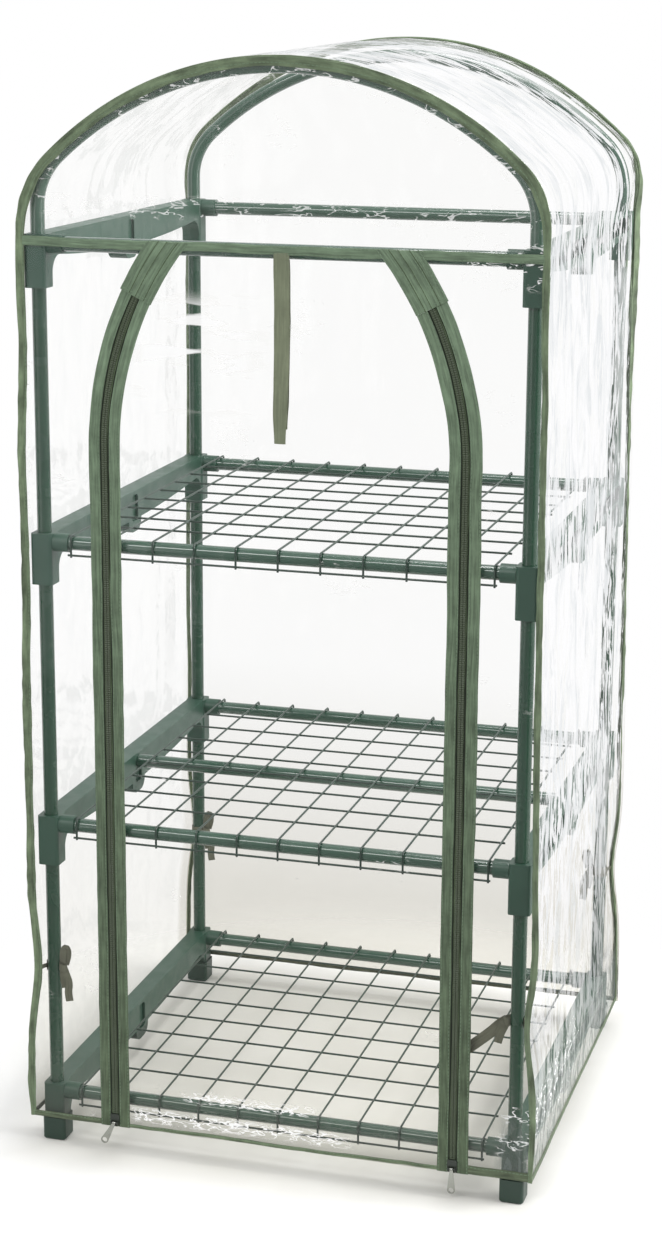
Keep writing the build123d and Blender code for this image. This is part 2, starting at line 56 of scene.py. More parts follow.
# Places of the cover and the posts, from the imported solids
wall_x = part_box("wall_right")[1].x
hem_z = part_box("wall_right")[0].z
spring_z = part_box("wall_right")[1].z
apex_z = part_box("roof")[1].z
film_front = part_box("door_film")[0].y
film_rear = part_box("rear_panel")[1].y
header_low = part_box("header_tape")[0].z
header_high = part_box("header_tape")[1].z
header_z = (header_low + header_high) / 2
band_low = header_low + 4.5 * MM  # the header's tape, seen above the rail behind it
band_high = band_low + 10 * MM
hem_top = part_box("hem_tape")[1].z
door_hem_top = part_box("door_hem")[1].z
tie_z = (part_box("corner_ties")[0].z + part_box("corner_ties")[1].z) / 2
post_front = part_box("post_front_left_lower")[0].y + post_r
post_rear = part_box("post_rear_left_lower")[0].y + post_r

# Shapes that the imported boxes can't give
crown_r = 385.5 * MM
shoulder_r = 88.5 * MM
flare_floor = 4.8 * MM  # how far the film would stand out at the floor
flare_slope = -9.8 * MM  # change of that for each metre up
flare_least = -5.5 * MM
door_x = 6 * MM
zip_half = 202 * MM
zip_bend_z = 830 * MM
zip_bend_r = 380 * MM
zip_patch_z = 998 * MM
tape_far = 17.8 * MM  # zip line to the outer edge of its tape
tape_rise = 1.2 * MM
binding_rise = 1.0 * MM
binding_leg = 3.6 * MM  # what lies on each film
binding_ridge = 4.6 * MM  # how far the folded seam stands out
ridge_least = 1.2 * MM
roof_lean = 2.0 * MM  # the whole roof to the right
roof_puff = 9.0 * MM  # loose roof above the rear hoop
roof_puff_top = 3.0 * MM  # what the crown has more of it
front_puff = 1.5 * MM  # loose right shoulder at the front
tie_pinch = 8.5 * MM  # how far a tie pulls the cover's corner in
tie_pinch_reach = 55 * MM  # up and down from the tie
tie_pinch_run = 120 * MM  # from the seam along the wall
lean_below = 30 * MM  # the roof's lean starts this far below its spring
lean_above = 60 * MM  # and is whole this far above it
crown_rise = 80 * MM  # last rise of the roof, where it is loosest

# Folds of the film
fold_wide = 90 * MM
fold_tall = 300 * MM
slant_wide = 55 * MM
slant_tall = 170 * MM
slant_slope = 0.6
crinkle_wide = 17 * MM
crinkle_tall = 35 * MM
wave_depth = 1.1 * MM
fold_depth = 0.75 * MM
slant_depth = 0.7 * MM
crinkle_depth = 0.35 * MM
seam_hold = 40 * MM  # how far a sewn edge keeps the film flat
film_back = 0.2 * MM  # flat film behind the face of its solid


# Noise and curves

def noise(u, v, seed):
    """Smooth noise from -1 to 1 over a plane, about one bump per unit."""
    size = 64
    table = np.random.RandomState(seed).uniform(-1, 1, (size, size))
    u, v = np.broadcast_arrays(np.asarray(u, float), np.asarray(v, float))
    low_u = np.floor(u).astype(int)
    low_v = np.floor(v).astype(int)
    ease_u = u - low_u
    ease_v = v - low_v
    ease_u = ease_u * ease_u * (3 - 2 * ease_u)
    ease_v = ease_v * ease_v * (3 - 2 * ease_v)
    next_u = (low_u + 1) % size
    next_v = (low_v + 1) % size
    low_u = low_u % size
    low_v = low_v % size
    lower = table[low_u, low_v] * (1 - ease_u) + table[next_u, low_v] * ease_u
    upper = table[low_u, next_v] * (1 - ease_u) + table[next_u, next_v] * ease_u
    return lower * (1 - ease_v) + upper * ease_v


def ease(value, low, high):
    """0 below low, 1 above high, smooth between."""
    share = np.clip((np.asarray(value, float) - low) / (high - low), 0, 1)
    return share * share * (3 - 2 * share)


def flare(z):
    """How far the film stands outside its straight wall at a height."""
    return np.maximum(flare_floor + flare_slope * np.asarray(z), flare_least)


def corner_x(z):
    """Half width of the cover at its corners, which the ties pull in."""
    return wall_x + flare(z) - tie_pinch * np.exp(-(((np.asarray(z) - tie_z) / tie_pinch_reach) ** 2))


arch_angle = math.asin((wall_x - shoulder_r) / (crown_r - shoulder_r))
wall_run = spring_z - hem_z
shoulder_run = (math.pi / 2 - arch_angle) * shoulder_r
crown_run = arch_angle * crown_r
arch_half = wall_run + shoulder_run + crown_run


def arch(along, back):
    """Place (x, z) and outward direction (x, z) along the cover's section, left hem to right hem.

    back is 0 at the front seam and 1 at the rear seam.
    """
    along, back = np.broadcast_arrays(np.asarray(along, float), np.asarray(back, float))
    side = np.where(along < arch_half, -1.0, 1.0)
    rise = np.minimum(along, 2 * arch_half - along)
    on_wall = rise < wall_run
    on_shoulder = ~on_wall & (rise < wall_run + shoulder_run)
    turn = np.where(
        on_wall,
        math.pi / 2,
        np.where(
            on_shoulder,
            math.pi / 2 - (rise - wall_run) / shoulder_r,
            arch_angle - (rise - wall_run - shoulder_run) / crown_r,
        ),
    )
    centre_x = np.where(on_wall | on_shoulder, wall_x - shoulder_r, 0.0)
    centre_z = np.where(on_wall, hem_z + rise, np.where(on_shoulder, spring_z, apex_z - crown_r))
    radius = np.where(on_wall | on_shoulder, shoulder_r, crown_r)
    z = centre_z + radius * np.where(on_wall, 0, np.cos(turn))
    x = centre_x + radius * np.sin(turn) + flare(z)
    crown_from = arch_half - crown_run
    x = np.where(rise > crown_from, x - flare(z) * ease(rise, crown_from, arch_half), x)
    from_seam = np.minimum(back, 1 - back) * (film_rear - film_front)
    x = x + (corner_x(z) - wall_x - flare(z)) * (1 - ease(from_seam, 0, tie_pinch_run))
    raised = ease(z, spring_z - lean_below, spring_z + lean_above)
    top = ease(z, apex_z - crown_rise, apex_z)
    loose = back * (roof_puff + roof_puff_top * top) + (1 - back) * front_puff * (side > 0) * (1 - top)
    loose = loose * raised
    out_x = side * np.sin(turn)
    out_z = np.cos(turn)
    return side * x + out_x * loose + roof_lean * raised, z + out_z * loose, out_x, out_z


def zip_place(side, offset, along):
    """Place (x, z) and direction away from the door (x, z) at distances along a zip's line from the hem."""
    along = np.asarray(along, float)
    turn = np.maximum(along - (zip_bend_z - hem_z), 0) / zip_bend_r
    reach = zip_half - zip_bend_r + (zip_bend_r + offset) * np.cos(turn)
    z = np.minimum(hem_z + along, zip_bend_z) + (zip_bend_r + offset) * np.sin(turn)
    return door_x + side * reach, z, side * np.cos(turn), np.sin(turn)


def zip_x(side, offset, z):
    """X of a zip's line at a height."""
    rise = np.maximum(np.asarray(z) - zip_bend_z, 0)
    return door_x + side * (zip_half - zip_bend_r + np.sqrt((zip_bend_r + offset) ** 2 - rise**2))


def zip_run(z):
    """Distance along a zip's line from the hem to a height."""
    if z <= zip_bend_z:
        return z - hem_z
    return zip_bend_z - hem_z + zip_bend_r * math.asin((z - zip_bend_z) / zip_bend_r)


# Meshes

def stack(*columns):
    """Points from columns of coordinates, each a number or an array."""
    return np.stack(np.broadcast_arrays(*[np.asarray(column, float) for column in columns]), axis=-1)


def at_distances(line, reach, at):
    """Points at distances along a line; reach holds the distance of each of the line's own points."""
    return np.stack([np.interp(at, reach, line[:, axis]) for axis in range(3)], axis=-1)


def distances(line):
    """Distance along a line to each of its points."""
    return np.concatenate([[0], np.cumsum(np.linalg.norm(np.diff(line, axis=0), axis=1))])


def skin(rings, material=0):
    """Closed skin through equal rings of points, with end caps."""
    rings = np.asarray(rings, float)
    count, size = rings.shape[:2]
    row, column = np.meshgrid(np.arange(count - 1), np.arange(size), indexing="ij")
    first = row * size
    after = (column + 1) % size
    corners = [first + column, first + after, first + size + after, first + size + column]
    faces = np.stack(corners, axis=-1).reshape(-1, 4)
    caps = [tuple(range(size - 1, -1, -1)), tuple(range((count - 1) * size, count * size))]
    flat = stack(distances(rings[0])[None, :], distances(rings.mean(1))[:, None])
    faces = [tuple(face) for face in faces.tolist()] + caps
    return rings.reshape(-1, 3), faces, flat.reshape(-1, 2), material


def sheet(points, flat):
    """Open sheet through a grid of points; flat holds the same points before it was hung."""
    count, size = points.shape[:2]
    row, column = np.meshgrid(np.arange(count - 1), np.arange(size - 1), indexing="ij")
    corner = row * size + column
    faces = np.stack([corner, corner + 1, corner + size + 1, corner + size], axis=-1).reshape(-1, 4)
    return points.reshape(-1, 3), [tuple(face) for face in faces.tolist()], flat.reshape(-1, 2), 0


def piece(name, body, materials, skins, replaced, sharp=50):
    """One object from several skins, riding on a body, with the given finishes, in place of some solids."""
    mesh = bpy.data.meshes.new(name)
    points, faces, flats, kinds = [], [], [], []
    start = 0
    for skin_points, skin_faces, flat, material in skins:
        points.append(skin_points)
        flats.append(flat)
        faces += [tuple(start + corner for corner in face) for face in skin_faces]
        kinds += [material] * len(skin_faces)
        start += len(skin_points)
    mesh.from_pydata(np.concatenate(points).tolist(), [], faces)
    for material in materials:
        mesh.materials.append(material)
    mesh.polygons.foreach_set("material_index", kinds)
    mesh.polygons.foreach_set("use_smooth", [True] * len(kinds))
    corners = np.zeros(len(mesh.loops), int)
    mesh.loops.foreach_get("vertex_index", corners)
    mesh.uv_layers.new(name="flat").data.foreach_set("uv", np.concatenate(flats)[corners].ravel())
    solid = bmesh.new()
    solid.from_mesh(mesh)
    bmesh.ops.recalc_face_normals(solid, faces=solid.faces)
    solid.to_mesh(mesh)
    solid.free()
    mesh.set_sharp_from_angle(angle=math.radians(sharp))
    made = bpy.data.objects.new(name, mesh)
    bpy.context.scene.collection.objects.link(made)
    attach(made, body)
    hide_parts(*replaced)
    return made


def tape(centre, across, out, width, rise, material=0):
    """Flat tape along a line of points; out is the way its face looks."""
    count = len(centre)
    width = np.broadcast_to(width, count)[:, None]
    rise = np.broadcast_to(rise, count)[:, None]
    across = np.broadcast_to(across, (count, 3))
    out = np.broadcast_to(out, (count, 3))
    section = ((-0.5, 0), (-0.5, 0.6), (-0.44, 1), (0, 1.12), (0.44, 1), (0.5, 0.6), (0.5, 0))
    rings = [centre + across * width * share + out * rise * height for share, height in section]
    return skin(np.stack(rings, axis=1), material)


def spaced(line, pitch):
    """Points and directions at an even pitch along a line."""
    reach = distances(line)
    at = np.arange(pitch / 2, reach[-1], pitch)
    step = 0.5 * MM
    way = at_distances(line, reach, at + step) - at_distances(line, reach, at - step)
    return at_distances(line, reach, at), way / np.linalg.norm(way, axis=1)[:, None]


def stitches(line, out, material=1, pitch=4.4 * MM, length=3.0 * MM, width=0.7 * MM, rise=0.35 * MM):
    """A row of short thread stitches along a line; out is the way they stand up."""
    points, way = spaced(line, pitch)
    out = np.broadcast_to(out, points.shape)
    across = np.cross(way, out)
    corners = []
    for at, high in ((-0.5, 0.1), (-0.25, 1.0), (0.25, 1.0), (0.5, 0.1)):
        for sideways, lift in ((-0.5, 0), (0, high), (0.5, 0)):
            corners.append(points + way * length * at + across * width * sideways + out * rise * lift)
    corners = np.stack(corners, axis=1)
    each = corners.shape[1]
    faces = []
    for base in range(0, len(points) * each, each):
        for row in range(base, base + each - 3, 3):
            for column in range(3):
                corner = row + column
                after = row + (column + 1) % 3
                faces.append((corner, after, after + 3, corner + 3))
        faces += [(base + 2, base + 1, base), (base + 9, base + 10, base + 11)]
    flat = np.zeros((len(points) * each, 2))
    return corners.reshape(-1, 3), faces, flat, material


# Materials

def tree_of(name):
    """A new material with an empty node tree and its output."""
    made = bpy.data.materials.new(name)
    made.use_nodes = True
    made.node_tree.nodes.clear()
    return made, made.node_tree, made.node_tree.nodes.new("ShaderNodeOutputMaterial")


def add(tree, kind, inputs=None, **settings):
    """Add a node; inputs are values or the sockets that feed them."""
    made = tree.nodes.new("ShaderNode" + kind)
    for name, value in settings.items():
        setattr(made, name, value)
    for name, value in (inputs or {}).items():
        if isinstance(value, bpy.types.NodeSocket):
            tree.links.new(value, made.inputs[name])
        else:
            made.inputs[name].default_value = value
    return made


def math_node(tree, operation, first, second=0.0, clamp=False):
    """Result of one sum on two numbers or sockets."""
    return add(tree, "Math", {0: first, 1: second}, operation=operation, use_clamp=clamp).outputs[0]


def times(tree, first, second):
    return math_node(tree, "MULTIPLY", first, second)


def plus(tree, first, second, clamp=False):
    return math_node(tree, "ADD", first, second, clamp)


def minus(tree, first, second):
    return math_node(tree, "SUBTRACT", first, second)


def larger(tree, first, second):
    return math_node(tree, "MAXIMUM", first, second)


def tinted(tree, colour, filter_colour):
    """A colour seen through another."""
    return add(tree, "VectorMath", {0: colour, 1: filter_colour}, operation="MULTIPLY").outputs[0]


def mixed(tree, share, first, second):
    """First shader where share is 0, second where it is 1."""
    return add(tree, "MixShader", {"Fac": share, 1: first, 2: second}).outputs[0]


def mapped(tree, coordinates, scale):
    """Coordinates stretched by a scale for each axis."""
    return add(tree, "Mapping", {"Vector": coordinates, "Scale": scale}).outputs[0]


def grain(tree, coordinates, scale, detail=3.0, rough=0.5, swirl=0.0):
    """Noise from 0 to 1; scale is bumps per metre, one number or three."""
    if not np.isscalar(scale):
        coordinates = mapped(tree, coordinates, scale)
        scale = 1.0
    settings = {"Vector": coordinates, "Scale": scale, "Detail": detail, "Roughness": rough}
    settings["Distortion"] = swirl
    return add(tree, "TexNoise", settings).outputs["Fac"]


def ramp(tree, fac, *stops):
    """Colour ramp through (place, colour) stops."""
    made = add(tree, "ValToRGB", {"Fac": fac})
    elements = made.color_ramp.elements
    for number, (place, colour) in enumerate(stops):
        element = elements[number] if number < 2 else elements.new(place)
        element.position = place
        element.color = (*colour, 1) if len(colour) == 3 else colour
    return made.outputs["Color"]


def between(tree, value, low, high, to_low=0.0, to_high=1.0):
    """to_low up to low, to_high from high on, smooth between."""
    settings = {"Value": value, "From Min": low, "From Max": high, "To Min": to_low, "To Max": to_high}
    return add(tree, "MapRange", settings, interpolation_type="SMOOTHSTEP").outputs[0]


def band(tree, value, low, full, still, high):
    """1 between full and still, fading to 0 at low and high."""
    return times(tree, between(tree, value, low, full), between(tree, value, still, high, 1.0, 0.0))


def zone(tree, x, x_run, z, z_run):
    """1 inside a patch of the cover, fading to 0 round it."""
    return times(tree, band(tree, x, *x_run), band(tree, z, *z_run))


def shade(colour, share):
    """A colour made darker or lighter."""
    return tuple(min(channel * share, 1.0) for channel in colour)


def hard_material(name, colour, rough, bump_scale, bump, metallic=0.0, coat=0.0, painted_foot_shade=1.0):
    """Coated metal or moulded plastic: mottled colour, uneven gloss and a fine bump; below 1, the foot share
    darkens the lowest centimetre as painted shade.
    """
    made, tree, output = tree_of(name)
    place = add(tree, "TexCoord").outputs["Object"]
    tone = grain(tree, place, 22.0, 4.0, 0.6)
    fine = grain(tree, place, bump_scale, 2.0)
    # Painted shade: the lowest centimetre is darker
    if painted_foot_shade < 1:
        height = add(tree, "SeparateXYZ", {0: place}).outputs["Z"]
        tone = times(tree, tone, between(tree, height, hem_z, hem_z + 0.01))
    stops = [(0.0, shade(colour, painted_foot_shade)), (0.3, shade(colour, 0.92)), (0.7, shade(colour, 1.08))]
    settings = {
        "Base Color": ramp(tree, tone, *stops),
        "Roughness": between(tree, grain(tree, place, 60.0, 3.0), 0.3, 0.7, rough - 0.04, rough + 0.06),
        "Normal": add(tree, "Bump", {"Height": fine, "Strength": bump, "Distance": 0.3 * MM}).outputs[0],
        "Metallic": metallic,
        "Coat Weight": coat,
        "Coat Roughness": 0.08,
    }
    surface = add(tree, "BsdfPrincipled", settings)
    tree.links.new(surface.outputs[0], output.inputs["Surface"])
    return made


def woven_material(name, colour, thread=0.9 * MM, rough=0.82, worn=0.25, low=None):
    """Woven tape: crossing threads, drawn lengthwise lines and faded patches.

    low is its colour near the floor, where that differs.
    """
    made, tree, output = tree_of(name)
    flat = add(tree, "TexCoord").outputs["UV"]
    place = add(tree, "TexCoord").outputs["Object"]
    threads = []
    for direction, scale in (("X", (1 / thread, 0, 0)), ("Y", (0, 1 / thread, 0))):
        settings = {"Vector": mapped(tree, flat, scale), "Scale": 0.5}
        threads.append(add(tree, "TexWave", settings, bands_direction=direction).outputs["Fac"])
    weave = times(tree, *threads)
    lines = grain(tree, flat, (420.0, 22.0, 1.0), 3.0, 0.6)
    fade = grain(tree, place, 38.0, 5.0, 0.65)
    tone = plus(tree, times(tree, lines, 0.6), times(tree, fade, 0.4))
    stops = [(0.36, shade(colour, 1 - 1.6 * worn)), (0.5, colour), (0.64, shade(colour, 1 + 1.8 * worn))]
    tint = ramp(tree, tone, *stops)
    if low:
        height = add(tree, "SeparateXYZ", {0: place}).outputs["Z"]
        share = tuple(channel / whole for channel, whole in zip(low, colour))
        tint = tinted(tree, tint, ramp(tree, height, (0.06, share), (0.95, (1.0, 1.0, 1.0))))
    relief = plus(tree, times(tree, weave, 0.5), times(tree, tone, 2.0))
    settings = {
        "Base Color": tint,
        "Roughness": rough,
        "Normal": add(tree, "Bump", {"Height": relief, "Strength": 0.6, "Distance": 0.4 * MM}).outputs[0],
        "Specular IOR Level": 0.3,
        "Sheen Weight": 0.15,
        "Sheen Roughness": 0.5,
    }
    surface = add(tree, "BsdfPrincipled", settings)
    tree.links.new(surface.outputs[0], output.inputs["Surface"])
    return made


# Grain of the film's marks, in bumps per metre across the film, along it and out of it
streak_grain = (62.0, 17.0, 1.0)
crumple_grain = (36.0, 30.0, 1.0)
patch_grain = (9.0, 5.0, 1.0)
fold_grain = (36.0, 105.0, 1.0)
gap_grain = (60.0, 60.0, 1.0)
fine_grain = (52.0, 190.0, 1.0)
stray_grain = (11.0, 8.0, 1.0)
glare_smear_grain = (7.0, 40.0, 1.0)
soft_grain = (60.0, 30.0, 1.0)
cloud_grain = (26.0, 9.0, 1.0)

# Places on the cover with painted glint lines, glare smears and the painted beam reflection, each as the run
# from nothing through whole to nothing, in metres
hem_row_x = (-0.19, -0.16, 0.06, 0.1)
hem_row_z = (0.037, 0.043, 0.053, 0.06)
second_row_x = (-0.12, -0.1, 0.03, 0.06)
second_row_z = (0.07, 0.075, 0.081, 0.088)
corner_run_x = (0.19, 0.22, 0.3, 0.31)
corner_run_z = (1.015, 1.03, 1.045, 1.09)
rear_rail_z = (1.078, 1.086, 1.1, 1.108)  # where the rear rail is seen through the gable
beam_z = (0.05, 0.065, 0.115, 0.14)
glare_smear_x = (-0.17, -0.13, -0.06, 0.0)
glare_smear_z = (0.87, 0.9, 0.98, 1.01)
beam_reflection_z = (hem_z, hem_z + 0.01, hem_z + 0.05, hem_z + 0.09)

# Colours seen in the film
# Tints of what is seen through the film, darker near the hem and low at the rear: the greyer floor behind,
# partly painted shade
hem_backdrop_shade = (0.6, 0.6, 0.57)
rail_backdrop_shade = (0.78, 0.777, 0.75)
low_backdrop_shade = (0.94, 0.935, 0.912)
least_backdrop_shade = (0.99, 0.99, 0.987)
rear_backdrop_shade = (0.81, 0.798, 0.765)
dull_shine = (0.8, 0.825, 0.84)
full_shine = (0.99, 0.99, 1.0)
# Dust colour, which turns white for the painted glints
dust_colour = (0.84, 0.83, 0.78)
# Dark diffuse colour: a painted reflection of the beam low on the right wall
beam_reflection_colour = (0.17, 0.2, 0.185, 1)
white_colour = (1.0, 1.0, 1.0)


def film_streaks(tree, flat, x):
    """Drawn-out streaks, which give way to crumples on the left."""
    streak = grain(tree, flat, streak_grain, 4.0, 0.6, 1.5)
    crumple = grain(tree, flat, crumple_grain, 4.0, 0.6, 1.2)
    on_left = between(tree, x, -0.08, 0.06, 1.0, 0.0)
    return plus(tree, streak, times(tree, minus(tree, crumple, streak), on_left))


def film_glare(tree, flat, streak, x, y, z):
    """Share of the film that mirrors what is round it: most at a slant, on the right, between streaks."""
    rear_more = between(tree, y, 0.1, 0.2, 0.0, 0.07)
    patch = between(tree, grain(tree, flat, patch_grain, 2.0), 0.4, 0.55, 0.5, 0.96)
    broken = times(tree, between(tree, plus(tree, streak, rear_more), 0.5, 0.57), patch)
    slant = add(tree, "LayerWeight", {"Blend": 0.5}).outputs["Facing"]
    lit = times(tree, between(tree, x, -0.25, 0.12, 0.12, 1.0), between(tree, z, 0.06, 0.45, 0.4, 1.0))
    sheen = times(tree, between(tree, slant, 0.3, 0.68), lit)
    glare = times(tree, sheen, minus(tree, 1.0, broken))
    return plus(tree, times(tree, glare, 0.92), 0.016, True)


def thin_lines(tree, value, full, gone):
    """1 where a noise has its middle value, 0 a little away from it."""
    return between(tree, math_node(tree, "ABSOLUTE", minus(tree, value, 0.5)), full, gone, 1.0, 0.0)


def film_glint_creases(tree, flat, front, on_right, x, y, z):
    """Fold lines, painted white as glints and raised in the bump: two rows above the front hem, others by the
    arch, the rails and low on the right.
    """
    gaps = between(tree, grain(tree, flat, gap_grain, 2.0), 0.47, 0.54)
    fold = times(tree, thin_lines(tree, grain(tree, flat, fold_grain, 2.0, 0.6, 0.5), 0.012, 0.03), gaps)
    fine = thin_lines(tree, grain(tree, flat, fine_grain, 2.0, 0.6, 0.6), 0.025, 0.05)
    hem_rows = larger(
        tree, zone(tree, x, hem_row_x, z, hem_row_z), zone(tree, x, second_row_x, z, second_row_z)
    )
    rows = times(tree, times(tree, fine, hem_rows), front)
    from_centre = add(tree, "CombineXYZ", {"X": x, "Y": minus(tree, z, apex_z - crown_r)}).outputs[0]
    reach = add(tree, "VectorMath", {0: from_centre}, operation="LENGTH").outputs["Value"]
    rim = between(tree, reach, crown_r - 0.03, crown_r - 0.015, 0.0, 0.6)
    rim = times(tree, rim, between(tree, z, header_z, header_z + 0.02))
    rail = times(tree, band(tree, z, *rear_rail_z), 0.6)
    stray = times(tree, between(tree, grain(tree, flat, stray_grain, 2.0), 0.62, 0.68), 0.5)
    where = larger(tree, rim, zone(tree, x, corner_run_x, z, corner_run_z))
    where = larger(tree, larger(tree, where, rail), stray)
    beam = times(tree, band(tree, z, *beam_z), between(tree, y, -0.06, 0.02, 1.0, 0.0))
    where = larger(tree, times(tree, where, front), times(tree, beam, on_right))
    return larger(tree, times(tree, fold, where), rows)


def film_backdrop_shade(tree, y, z):
    """Tint of what is seen through the film: grey along the front hem and low down at the rear, for the
    greyer floor behind it, partly painted shade.
    """
    from_hem = plus(tree, z, between(tree, y, film_front + 0.02, 0.2, 0.0, 0.06))
    # Darker towards the hem and low at the rear: the greyer floor behind, partly painted shade
    stops = [(0.03, hem_backdrop_shade), (0.5, least_backdrop_shade), (0.06, rail_backdrop_shade), (0.085, low_backdrop_shade)]
    front_backdrop_shade = ramp(tree, from_hem, *stops)
    rear_height = plus(tree, z, between(tree, y, 0.2, 0.255, 1.0, 0.0))
    return tinted(tree, front_backdrop_shade, ramp(tree, rear_height, (0.14, rear_backdrop_shade), (0.46, white_colour)))


def film_material(name):
    """Clear soft film: see-through face on, glaring white at a slant where no creases break the glare; white
    along creases and smears as painted glints, a dark painted reflection of the beam low on the right, and
    what is seen through darker near the hem and low at the rear, partly painted shade.
    """
    made, tree, output = tree_of(name)
    flat = add(tree, "TexCoord").outputs["UV"]
    place = add(tree, "TexCoord").outputs["Object"]
    x, y, z = add(tree, "SeparateXYZ", {0: place}).outputs
    front = between(tree, y, film_front + 0.01, film_front + 0.02, 1.0, 0.0)
    on_right = between(tree, x, 0.25, 0.27)
    streak = film_streaks(tree, flat, x)
    glint_creases = film_glint_creases(tree, flat, front, on_right, x, y, z)
    # White smears by the door's upper left: painted glare
    glare_smear = between(tree, grain(tree, flat, glare_smear_grain, 3.0), 0.52, 0.57)
    glare_smear = times(tree, glare_smear, zone(tree, x, glare_smear_x, z, glare_smear_z))
    # Crease lines and smears painted white as glints
    painted_glints = larger(tree, glint_creases, times(tree, glare_smear, front))
    height = plus(tree, times(tree, grain(tree, flat, soft_grain, 3.0, 0.55), 0.5), glint_creases)
    relief = add(tree, "Bump", {"Height": height, "Strength": 0.9, "Distance": 1.3 * MM}).outputs[0]

    low_dust = between(tree, z, hem_z, hem_z + 0.12, 0.04, 0.006)
    gable_dust = times(tree, between(tree, z, 1.055, 1.075, 0.0, 0.028), front)
    dust_and_glints = plus(tree, plus(tree, low_dust, gable_dust), times(tree, painted_glints, 0.9), True)
    # Painted reflection of the dark beam in the rumpled film low on the right wall
    beam_reflection_zone = times(tree, on_right, band(tree, z, *beam_reflection_z))
    beam_reflection_share = times(tree, between(tree, streak, 0.38, 0.6, 0.12, 0.62), beam_reflection_zone)
    cloud = grain(tree, flat, cloud_grain, 3.0, 0.6, 1.0)
    shine_colour = ramp(tree, cloud, (0.36, dull_shine), (0.54, full_shine))
    # Dust tone, turning white along the painted glint lines and glare smears
    dust_and_glint_colour = ramp(tree, painted_glints, (0.0, dust_colour), (0.6, white_colour))

    # What is seen through is tinted darker near the hem and low at the rear, partly painted shade
    clear = add(tree, "BsdfTransparent", {"Color": film_backdrop_shade(tree, y, z)}).outputs[0]
    gloss = add(tree, "BsdfGlossy", {"Color": shine_colour, "Roughness": 0.05, "Normal": relief}).outputs[0]
    haze_and_glints = add(tree, "BsdfDiffuse", {"Color": dust_and_glint_colour}).outputs[0]
    beam_reflection = add(tree, "BsdfDiffuse", {"Color": beam_reflection_colour}).outputs[0]
    pane = mixed(tree, film_glare(tree, flat, streak, x, y, z), clear, gloss)
    seen = mixed(tree, beam_reflection_share, mixed(tree, dust_and_glints, pane, haze_and_glints), beam_reflection)
    surface = mixed(tree, add(tree, "LightPath").outputs["Is Shadow Ray"], seen, clear)
    tree.links.new(surface, output.inputs["Surface"])
    return made


# Finishes
olive = (0.15, 0.212, 0.138)
low_olive = (0.086, 0.12, 0.07)
tube = hard_material("tube_coating", (0.017, 0.056, 0.032), 0.24, 420.0, 0.05, coat=0.3)
# Rails and hoops: a lighter copy of the tube coating, painted reflection haze from the film, over a real
# glossy coat
painted_haze_tube = hard_material("rail_coating_painted_haze", (0.028, 0.078, 0.05), 0.22, 420.0, 0.05, coat=0.9)
# The brackets' feet darken towards the floor: painted shade
moulded = hard_material("bracket_plastic", (0.028, 0.075, 0.05), 0.4, 900.0, 0.15, painted_foot_shade=0.5)
wire = hard_material("wire_coating", (0.02, 0.042, 0.03), 0.34, 700.0, 0.06)
dark_metal = hard_material("slider_enamel", (0.022, 0.03, 0.022), 0.35, 900.0, 0.1)
nickel = hard_material("pull_nickel", (0.36, 0.37, 0.34), 0.24, 500.0, 0.05, metallic=1.0)
webbing = woven_material("tape_weave", olive, low=low_olive)
edging = woven_material("binding_weave", (0.13, 0.174, 0.104), worn=0.32)
hem_weave = woven_material("hem_weave", (0.1, 0.13, 0.078), worn=0.3)
zip_weave = woven_material("zip_weave", (0.068, 0.098, 0.05), 0.7 * MM, worn=0.3)
zip_coil = hard_material("zip_coil", (0.05, 0.07, 0.036), 0.5, 900.0, 0.2)
# Near-black strip beside each zip's coil: painted shadow
zip_shadow = woven_material("zip_shadow", (0.008, 0.014, 0.006), 0.7 * MM, worn=0.2)
thread = hard_material("stitch_thread", (0.16, 0.235, 0.15), 0.7, 1500.0, 0.3)
ribbon = woven_material("ribbon_weave", (0.19, 0.215, 0.14), 0.8 * MM, worn=0.12)
old_ribbon = woven_material("tie_weave", (0.13, 0.135, 0.098), 0.8 * MM, worn=0.2)
clear_film = film_material("clear_film")

# What the solids that stay in sight are made of
finishes = {
    "post": tube, "rail": painted_haze_tube, "hoop": painted_haze_tube, "bracket": moulded, "shelf": wire,
    "zip_slider": dark_metal, "zip_pull": nickel,
}
for node_name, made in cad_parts.items():
    for start, finish in finishes.items():
        if node_name.startswith(start):
            made.data.materials.clear()
            made.data.materials.append(finish)


# Film

def creased(u, v, seed):
    """Folds of a hung film: broad waves, drawn-out folds, slanted folds and small crinkles."""
    waves = wave_depth * noise(u / fold_wide, v / fold_tall, seed)
    folds = noise(u / (fold_wide * 0.42), v / (fold_tall * 0.6), seed + 1)
    slanted = noise((u + slant_slope * v) / slant_wide, (v - slant_slope * u) / slant_tall, seed + 3)
    crinkles = crinkle_depth * noise(u / crinkle_wide, v / crinkle_tall, seed + 2)
    sharp = fold_depth * (1 - 2 * np.abs(folds)) + slant_depth * (1 - 2 * np.abs(slanted))
    return waves + sharp + crinkles


